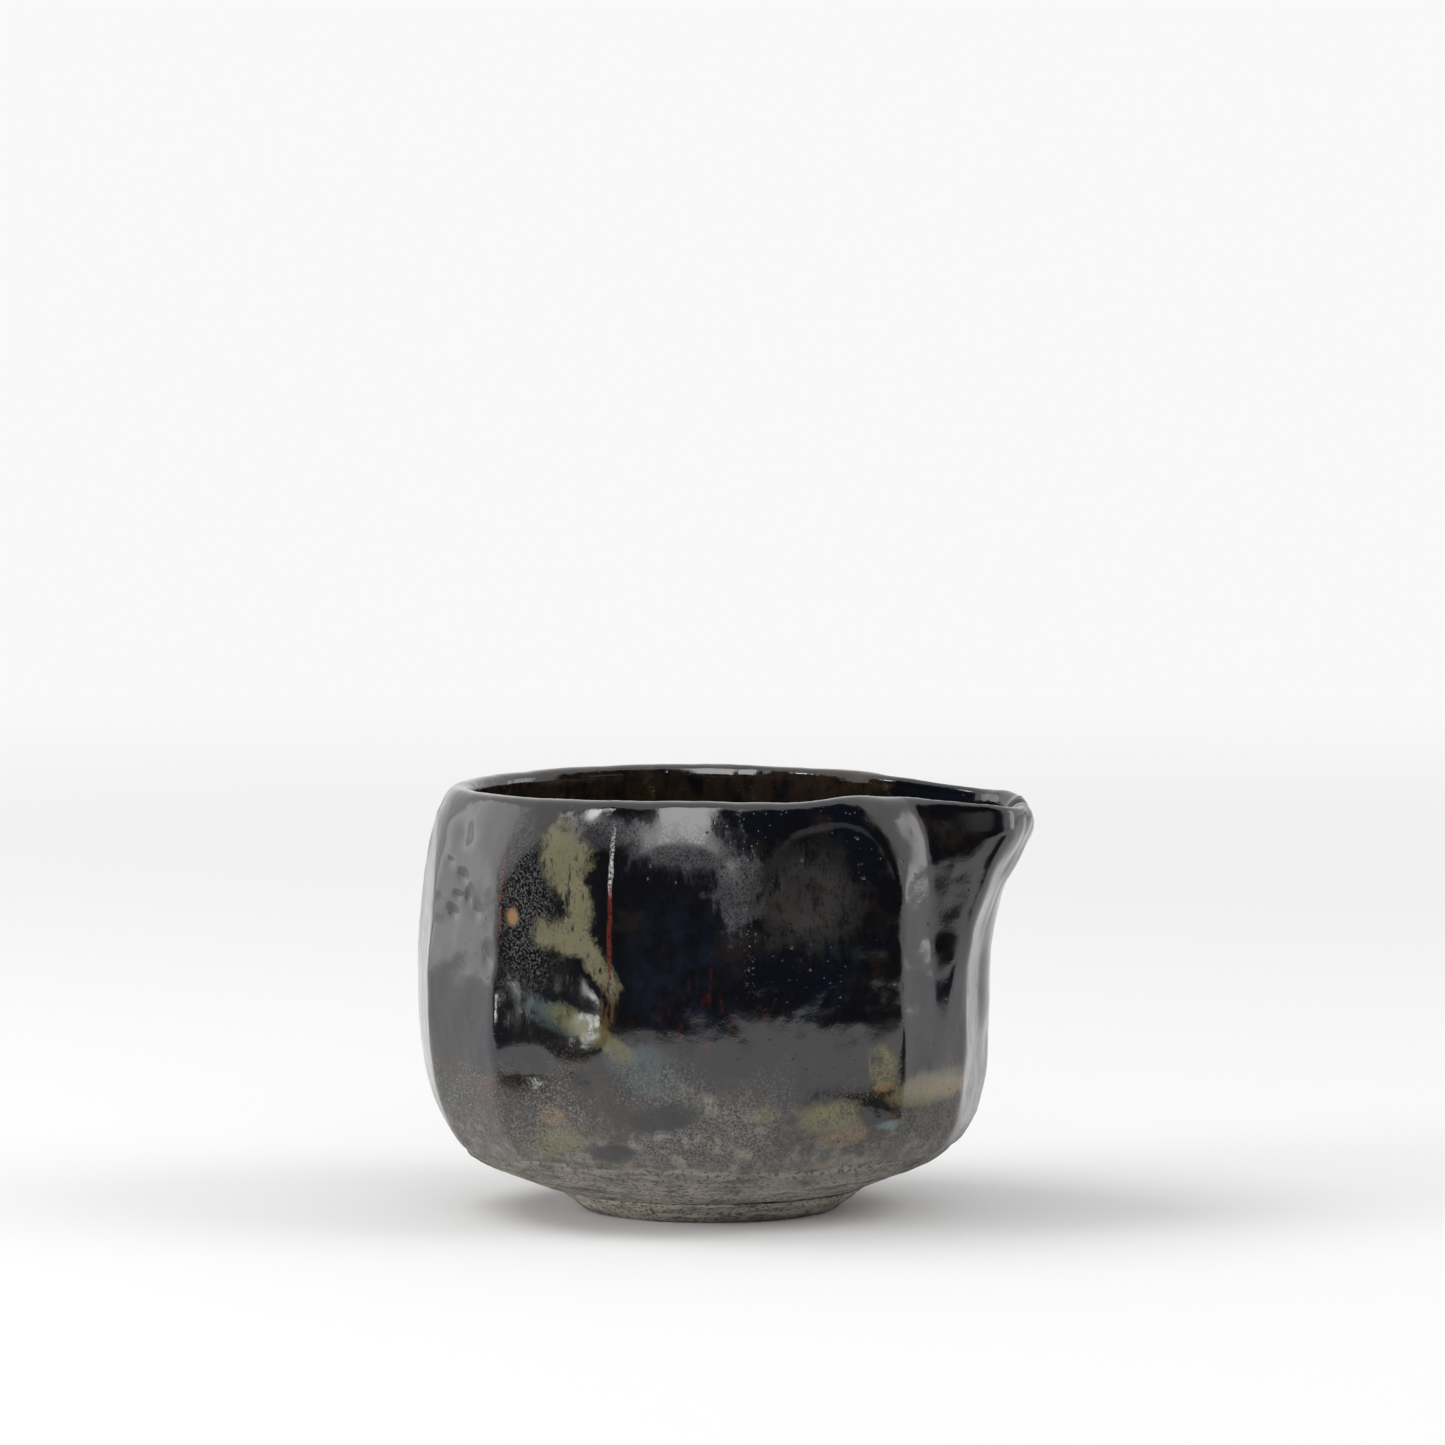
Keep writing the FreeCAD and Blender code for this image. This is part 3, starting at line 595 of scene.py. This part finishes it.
def bulge(spots):
    """Gives the plain form its hand-built shape: the fuller belly, the cheeks and the wavy rim."""
    x, y, z = (spots[:, axis] / MM for axis in range(3))
    side = np.clip((np.abs(x) - 5) / 42, 0, 1)
    side = side * side * (3 - 2 * side)
    left = np.interp(z, *zip(*LEFT_BELLY))
    right = np.interp(z, *zip(*RIGHT_BELLY))
    rows = np.array([np.interp(np.abs(y), CHEEK_ACROSS, row) for _, row in CHEEKS])
    level = np.clip(np.interp(z, [height for height, _ in CHEEKS], range(len(CHEEKS))), 0, 6.999)
    lower = level.astype(int)
    each = np.arange(len(spots))
    cheek = rows[lower, each] * (1 - level + lower) + rows[lower + 1, each] * (level - lower)
    fore = np.clip((x - 26) / 8, 0, 1)
    face = np.interp(np.abs(y), CHEEK_ACROSS, LIP_FACE)
    thinned = np.interp(np.abs(y), CHEEK_ACROSS, LIP_THINNED)
    cheek = cheek + thinned * np.clip((face - x) / 4, 0, 1) * np.clip((z - 62) / 10, 0, 1)
    cheek = cheek * fore
    dip = np.interp(np.abs(y), CHEEK_ACROSS, LIP_DIP) * fore * np.clip((z - 60) / 16, 0, 1)
    top = np.clip((z - 58) / 12, 0, 1)
    near = 0.9 * np.exp(-((x - 26) / 8) ** 2) * (y < -20)
    near = near - 0.4 * np.exp(-((x - 44) / 6) ** 2) * (y < -15)
    far = -0.9 * np.clip((x - 30) / 10, 0, 1) * np.clip((y - 18) / 6, 0, 1)
    moved = spots.copy()
    moved[:, 0] += np.where(x < 0, -left * side, right * side + cheek) * MM
    moved[:, 2] += ((near + far) * top - dip) * MM
    return moved


def ease_spout(piece, times):
    """Smooths the pulled spout once its cheeks are out, and its lip twice over."""
    cheeks = piece.vertex_groups.new(name="cheeks")
    lip = piece.vertex_groups.new(name="lip")
    for vertex in piece.data.vertices:
        x, y, z = (c / MM for c in vertex.co)
        share = np.clip((x - 36) / 5, 0, 1) * np.clip((z - 42) / 10, 0, 1)
        edge = (np.clip((x - 47) / 4, 0, 1) * np.clip((z - 64) / 4, 0, 1)
                * np.clip((17 - abs(y)) / 4, 0, 1))
        if share > 0:
            cheeks.add([vertex.index], share, "REPLACE")
        if edge > 0:
            lip.add([vertex.index], edge, "REPLACE")
    work(piece, "SMOOTH", factor=0.5, iterations=times, vertex_group="cheeks")
    work(piece, "SMOOTH", factor=0.5, iterations=2 * times, vertex_group="lip")


def press(piece):
    """Presses the thumb and tool marks into the front of the wall."""
    spots = points(piece)
    normals = np.array([v.normal[:] for v in piece.data.vertices])
    facing = np.clip((-normals[:, 1] - 0.15) / 0.2, 0, 1)
    for x, z, wide, tall, depth in PRESSED:
        far = ((spots[:, 0] / MM - x) / wide) ** 2 + ((spots[:, 2] / MM - z) / tall) ** 2
        spots -= normals * (np.exp(-far) * facing * (spots[:, 1] < -0.012) * depth * MM)[:, None]
    set_points(piece, spots)


def thin_out(piece, group, ratio):
    """Thins the faces of a vertex group and leaves the rest as fine as they are."""
    work(piece, "DECIMATE", ratio=ratio, vertex_group=group)


def finish_piece(piece, material, slot, *nodes):
    piece.data.materials.append(material)
    bpy.ops.object.shade_smooth()
    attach(piece, "root")
    if nodes:
        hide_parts(*nodes)
    set_down()


# ---------------------------------------------------------------- pieces
class TEABOWL_OT_glaze_coat(Operator):
    """One skin of glaze over the walls, the rim and the spout, inside and out"""
    bl_idname = "teabowl.glaze_coat"
    bl_label = "Glaze coat"

    def execute(self, context):
        form = context.scene.tea_bowl_form
        piece = copy_of(["clay_body", "pouring_spout", "outer_glaze", "inner_glaze"], "glaze_coat")
        work(piece, "REMESH", mode="VOXEL", voxel_size=form.coat_voxel)
        work(piece, "SMOOTH", factor=0.5, iterations=form.softening)
        set_points(piece, bulge(points(piece)))
        ease_spout(piece, form.easing)
        self.uncover_foot(piece, form)
        swell(piece, "hand_cut", 0.024, form.unevenness)
        swell(piece, "thumbed", 0.008, form.unevenness * 0.3)
        swell(piece, "orange_peel", 0.0025, form.unevenness * 0.08)
        press(piece)
        self.sink_edge(piece, form)
        piece.vertex_groups.new(name="back")
        fine = len(piece.data.polygons)
        work(piece, "SOLIDIFY", thickness=form.coat_thickness, offset=-1.0, use_rim=True,
             shell_vertex_group="back")
        ratio = (2 * fine + 16000) / (2 * len(piece.data.polygons))
        thin_out(piece, "back", ratio)
        finish_piece(piece, bpy.data.materials["ash_marked_glaze"], "black_glaze",
                     "outer_glaze", "inner_glaze")
        return {"FINISHED"}

    def line(self, form, spot):
        """The height of the glaze line at a place: it wanders as it goes round."""
        way = math.atan2(spot[1], spot[0] - AXIS_X)
        wander = noise.noise(Vector((math.cos(way) * 2.2, math.sin(way) * 2.2, 4.0)))
        return form.glaze_line + wander * 0.0016

    def uncover_foot(self, piece, form):
        """Takes the skin off the outside and underside below the glaze line."""
        delete_faces(piece, lambda face: face.normal.z < UNDERSIDE
                     and face.center.z < self.line(form, face.center))

    def sink_edge(self, piece, form):
        """Lets the lower edge of the glaze sink into the clay, so that it starts from nothing."""
        spots = points(piece)
        normals = np.array([v.normal[:] for v in piece.data.vertices])
        line = np.array([self.line(form, s) for s in spots])
        near = np.clip(1 - (spots[:, 2] - line) / 0.0022, 0, 1)
        near[normals[:, 2] > UNDERSIDE] = 0
        set_points(piece, spots - normals * (near * 0.0005)[:, None])


class TEABOWL_OT_clay_body(Operator):
    """The clay wall and floor under the glaze, bare above the foot"""
    bl_idname = "teabowl.clay_body"
    bl_label = "Clay body"

    def execute(self, context):
        form = context.scene.tea_bowl_form
        piece = copy_of(["clay_body"], "clay_wall")
        work(piece, "REMESH", mode="VOXEL", voxel_size=form.clay_voxel)
        work(piece, "SMOOTH", factor=0.5, iterations=3)
        set_points(piece, bulge(points(piece)))
        ease_spout(piece, form.easing)
        press(piece)
        hidden = piece.vertex_groups.new(name="hidden")
        rough = piece.vertex_groups.new(name="rough")
        for vertex in piece.data.vertices:
            bare = vertex.co.z < BARE_BELOW and vertex.normal.z < UNDERSIDE
            (rough if bare else hidden).add([vertex.index], 1.0, "REPLACE")
        swell(piece, "scraped", 0.006, 0.00018, 3, "rough")
        swell(piece, "gritty", 0.0016, 0.00010, 2, "rough")
        kept = sum(1 for face in piece.data.polygons
                   if face.center.z < BARE_BELOW and face.normal.z < UNDERSIDE)
        thin_out(piece, "hidden", (2 * kept + 24000) / (2 * len(piece.data.polygons)))
        finish_piece(piece, bpy.data.materials["smoked_clay"], "fired_clay", "clay_body")
        return {"FINISHED"}


class TEABOWL_OT_spout(Operator):
    """The clay of the pulled spout, under the glaze"""
    bl_idname = "teabowl.spout"
    bl_label = "Spout"

    def execute(self, context):
        form = context.scene.tea_bowl_form
        piece = copy_of(["pouring_spout"], "spout")
        work(piece, "REMESH", mode="VOXEL", voxel_size=form.clay_voxel)
        work(piece, "SMOOTH", factor=0.5, iterations=3)
        set_points(piece, bulge(points(piece)))
        ease_spout(piece, form.easing)
        work(piece, "DECIMATE", ratio=0.4)
        finish_piece(piece, bpy.data.materials["smoked_clay"], "fired_clay", "pouring_spout")
        return {"FINISHED"}


class TEABOWL_OT_foot_ring(Operator):
    """The turned foot that the bowl stands on, of bare gritty clay"""
    bl_idname = "teabowl.foot_ring"
    bl_label = "Foot ring"

    def execute(self, context):
        form = context.scene.tea_bowl_form
        piece = copy_of(["foot_ring"], "foot")
        work(piece, "REMESH", mode="VOXEL", voxel_size=form.foot_voxel)
        work(piece, "SMOOTH", factor=0.5, iterations=2)
        swell(piece, "torn", 0.004, 0.00014, 3)
        spots = points(piece)
        for spot in spots:
            way = math.atan2(spot[1], spot[0])
            round_it = (math.cos(way) * 1.5, math.sin(way) * 1.5)
            groove = noise.noise(Vector((*round_it, spot[2] * 1700)))
            reach = math.hypot(spot[0], spot[1])
            high = min(1.0, max(0.0, spot[2] / 0.0012))
            if reach > FOOT_OUTSIDE:
                spot[0] += math.cos(way) * groove * 0.00022 * high
                spot[1] += math.sin(way) * groove * 0.00022 * high
            spot[2] = max(spot[2], 0.0)
        set_points(piece, spots)
        finish_piece(piece, bpy.data.materials["smoked_clay"], "fired_clay", "foot_ring")
        return {"FINISHED"}


class TEABOWL_OT_finishes(Operator):
    """The glaze and the bare clay"""
    bl_idname = "teabowl.finishes"
    bl_label = "Finishes"

    def execute(self, context):
        glaze_material()
        clay_material()
        return {"FINISHED"}


# ---------------------------------------------------------------- studio
CAMERA_AT = (0.0023, -1.4, 0.188)
CAMERA_DIP = 3.97  # degrees below the level
SENSOR = 36.0      # millimetres

# Soft lamps: name, place and size in metres, and power as a share of the key's.
LAMPS = (("key", (-0.9, 0.15, 1.45), 1.1, 1.0),
         ("front_fill", (0.25, -1.7, 0.75), 1.2, 0.36),
         ("low_left_fill", (-1.5, -0.50, 0.24), 0.9, 2.3),
         ("right_fill", (1.2, -0.2, 0.9), 1.0, 0.70))

# Lit cards that only the gloss sees: name, bearing and rise in degrees, distance, width and
# height in metres, and strength.
CARDS = (("front_box", -98, 40, 1.35, 0.62, 1.40, 4.6),
         ("left_back_box", 158, 12, 1.3, 0.8, 1.1, 1.9),
         ("right_back_box", 17, 8, 1.4, 0.5, 0.8, 2.4),
         ("dim_right_card", -36, 12, 1.3, 0.36, 0.30, 0.32),
         ("high_left_box", -152, 46, 1.25, 0.16, 0.26, 9.0),
         ("low_left_box", -152, -6.5, 0.28, 0.014, 0.014, 14.0))

# Dark sheets on the table that only the gloss sees: name, place, width and depth, strength.
DARK_SHEETS = (("table_end", (0, -1.115, 0.002), 3.6, 1.8, 0.004),
               ("right_flag", (0.225, -0.050, 0.0015), 0.33, 0.060, 0.03),
               ("left_flag", (-0.380, -0.165, 0.0015), 0.50, 0.150, 0.03))
DARK_WALL = (-162, -10)  # the bearings that the dark wall spans, in degrees


def glow(title, strength):
    """A lit or, at nought, a black card."""
    b = Bench(title)
    light = b.add("ShaderNodeEmission", None, {"Color": (1.0, 1.0, 1.0), "Strength": strength})
    b.add("ShaderNodeOutputMaterial", None, {"Surface": light.outputs[0]})
    return b.material


def only_reflected(card):
    """A card that only glossy surfaces see."""
    card.visible_camera = card.visible_diffuse = card.visible_shadow = False
    card.visible_transmission = card.visible_volume_scatter = False


def card(title, way, rise, away, wide, tall, strength):
    """A flat reflector that faces the bowl: its bearing and rise in degrees, then metres."""
    a, e = math.radians(way), math.radians(rise)
    out = Vector((math.cos(a) * math.cos(e), math.sin(a) * math.cos(e), math.sin(e)))
    set_down()
    bpy.ops.mesh.primitive_plane_add(size=1.0, location=out * away + Vector((0, 0, 0.045)),
                                     rotation=(-out).to_track_quat("Z", "Y").to_euler())
    made = bpy.context.object
    made.name = made.data.name = title
    made.scale = (wide, tall, 1.0)
    made.data.materials.append(glow(title, strength))
    only_reflected(made)


class TEABOWL_OT_studio(Operator):
    """The camera, the pale floor, the white room and the soft lamps"""
    bl_idname = "teabowl.studio"
    bl_label = "Studio"

    def execute(self, context):
        studio = context.scene.tea_bowl_studio
        context.scene.view_settings.view_transform = "Standard"
        self.camera(context, studio)
        self.floor(studio)
        self.room(context, studio)
        self.lamps(studio)
        self.cards()
        set_down()
        return {"FINISHED"}

    def camera(self, context, studio):
        set_down()
        bpy.ops.object.camera_add(location=CAMERA_AT,
                                  rotation=(math.radians(90 - CAMERA_DIP), 0, 0))
        camera = context.object
        camera.name = "camera"
        camera.data.lens, camera.data.sensor_width = studio.lens, SENSOR
        camera.data.clip_start, camera.data.clip_end = 0.01, 100.0
        context.scene.camera = camera

    def floor(self, studio):
        set_down()
        bpy.ops.mesh.primitive_plane_add(size=16.0, location=(0, 0, 0))
        floor = bpy.context.object
        floor.name = "floor"
        b = Bench("paper")
        spot, x, y, z = b.place()
        far = b.math("SQRT", x * x + y * y)
        fade = b.step(far, 220.0, 1500.0)
        seen = b.add("ShaderNodeLightPath").outputs["Is Camera Ray"]
        grain = b.noise(spot, 1.2, 2.0, 0.5) * 0.012 + (studio.floor_white - 0.006)
        tint = b.add("ShaderNodeCombineXYZ", None, {0: grain, 1: grain, 2: grain}).outputs[0]
        paper = b.add("ShaderNodeBsdfDiffuse", None, {"Color": tint}).outputs[0]
        white = b.add("ShaderNodeEmission", None,
                      {"Color": (1, 1, 1), "Strength": studio.backdrop}).outputs[0]
        both = b.add("ShaderNodeMixShader", None,
                     {0: Number(b, seen) * fade, 1: paper, 2: white}).outputs[0]
        b.add("ShaderNodeOutputMaterial", None, {"Surface": both})
        floor.data.materials.append(b.material)

    def room(self, context, studio):
        world = bpy.data.worlds.new("white_room")
        context.scene.world = world
        world.use_nodes = True
        nodes, links = world.node_tree.nodes, world.node_tree.links
        nodes.clear()
        path = nodes.new("ShaderNodeLightPath")
        shown = nodes.new("ShaderNodeMath")
        shown.operation, shown.use_clamp = "ADD", True
        links.new(path.outputs["Is Camera Ray"], shown.inputs[0])
        links.new(path.outputs["Is Glossy Ray"], shown.inputs[1])
        more = nodes.new("ShaderNodeMath")
        more.operation, more.use_clamp = "ADD", True
        links.new(shown.outputs[0], more.inputs[0])
        links.new(path.outputs["Is Transmission Ray"], more.inputs[1])
        level = nodes.new("ShaderNodeMapRange")
        links.new(more.outputs[0], level.inputs["Value"])
        level.inputs["To Min"].default_value = studio.ambient
        level.inputs["To Max"].default_value = studio.backdrop
        back = nodes.new("ShaderNodeBackground")
        back.inputs["Color"].default_value = (1, 1, 1, 1)
        links.new(level.outputs[0], back.inputs["Strength"])
        out = nodes.new("ShaderNodeOutputWorld")
        links.new(back.outputs[0], out.inputs["Surface"])

    def lamps(self, studio):
        for title, spot, size, share in LAMPS:
            self.lamp(title, spot, size, studio.key_power * share)

    def lamp(self, title, spot, size, power):
        set_down()
        aim = (Vector((0, 0, 0.03)) - Vector(spot)).to_track_quat("-Z", "Y").to_euler()
        bpy.ops.object.light_add(type="AREA", location=spot, rotation=aim)
        lamp = bpy.context.object
        lamp.name = title
        lamp.data.shape, lamp.data.size, lamp.data.energy = "DISK", size, power
        lamp.visible_glossy = False

    def cards(self):
        self.dark_side()
        for settings in CARDS:
            card(*settings)

    def dark_side(self):
        """The unlit side of the room in front of the bowl, and the end of the white table."""
        set_down()
        bpy.ops.mesh.primitive_cylinder_add(vertices=144, radius=1.9, depth=3.0,
                                            end_fill_type="NOTHING", location=(0, 0, 1.502))
        wall = bpy.context.object
        wall.name = "dark_wall"
        low, high = (math.radians(way) for way in DARK_WALL)
        delete_faces(wall, lambda face: not low < math.atan2(face.center.y, face.center.x) < high)
        wall.data.materials.append(glow("dark_wall", 0.0))
        only_reflected(wall)
        for title, spot, wide, deep, strength in DARK_SHEETS:
            set_down()
            bpy.ops.mesh.primitive_plane_add(size=1.0, location=spot)
            sheet = bpy.context.object
            sheet.name = title
            sheet.scale = (wide, deep, 1)
            sheet.data.materials.append(glow(title, strength))
            only_reflected(sheet)


# ---------------------------------------------------------------- panel
class TEABOWL_PT_panel(Panel):
    """Lists the pieces and the sizes and colours that can be changed"""
    bl_idname = "TEABOWL_PT_panel"
    bl_label = "Tea Bowl"
    bl_space_type = "VIEW_3D"
    bl_region_type = "UI"
    bl_category = "Tea Bowl"

    def draw(self, context):
        for group in GROUPS:
            settings = getattr(context.scene, group)
            box = self.layout.box()
            for name in settings.__annotations__:
                box.prop(settings, name)
        for step in STEPS:
            self.layout.operator(step.bl_idname)


STEPS = (TEABOWL_OT_studio, TEABOWL_OT_finishes, TEABOWL_OT_glaze_coat, TEABOWL_OT_clay_body,
         TEABOWL_OT_spout, TEABOWL_OT_foot_ring)
GROUPS = {"tea_bowl_form": TEABOWL_PG_form, "tea_bowl_glaze": TEABOWL_PG_glaze,
          "tea_bowl_clay": TEABOWL_PG_clay, "tea_bowl_studio": TEABOWL_PG_studio}
CLASSES = (*GROUPS.values(), *STEPS, TEABOWL_PT_panel)


def register():
    for cls in CLASSES:
        bpy.utils.register_class(cls)
    for name, group in GROUPS.items():
        setattr(bpy.types.Scene, name, PointerProperty(type=group))


def unregister():
    for name in GROUPS:
        delattr(bpy.types.Scene, name)
    for cls in reversed(CLASSES):
        bpy.utils.unregister_class(cls)


def main():
    register()
    for step in STEPS:
        space, name = step.bl_idname.split(".")
        getattr(getattr(bpy.ops, space), name)()


if __name__ == "__main__":
    main()
